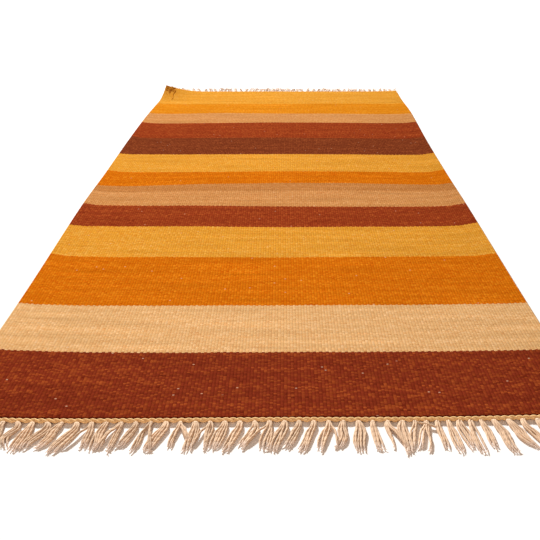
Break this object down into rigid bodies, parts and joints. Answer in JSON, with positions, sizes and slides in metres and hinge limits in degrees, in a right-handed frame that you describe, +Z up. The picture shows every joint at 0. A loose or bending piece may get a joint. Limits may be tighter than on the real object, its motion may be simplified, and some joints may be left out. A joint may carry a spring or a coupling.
{
  "type": "kilim rug",
  "caption": "Flat-woven wool rug with plain cross stripes in warm colours, twined cotton cords along its short ends and a tasselled warp fringe beyond each, lying flat on the floor.",
  "frame": {"origin": "on the floor under the middle of the rug", "axes": "+X across the rug, +Y along it to the far end, +Z up"},
  "size_m": [0.7089, 1.4902, 0.0223],
  "materials": {
    "wool_field": "matt ribbed wool flatweave in rust, cream, orange, gold, tan and brown stripes",
    "cotton_cord": "matt unbleached cotton twine",
    "cotton_fringe": "matt unbleached cotton yarn with frayed ends"
  },
  "bodies": {
    "root": {"woven_field": "wool_field", "end_cord_front": "cotton_cord", "end_cord_back": "cotton_cord", "fringe_front": "cotton_fringe", "fringe_back": "cotton_fringe"}
  },
  "joints": []
}
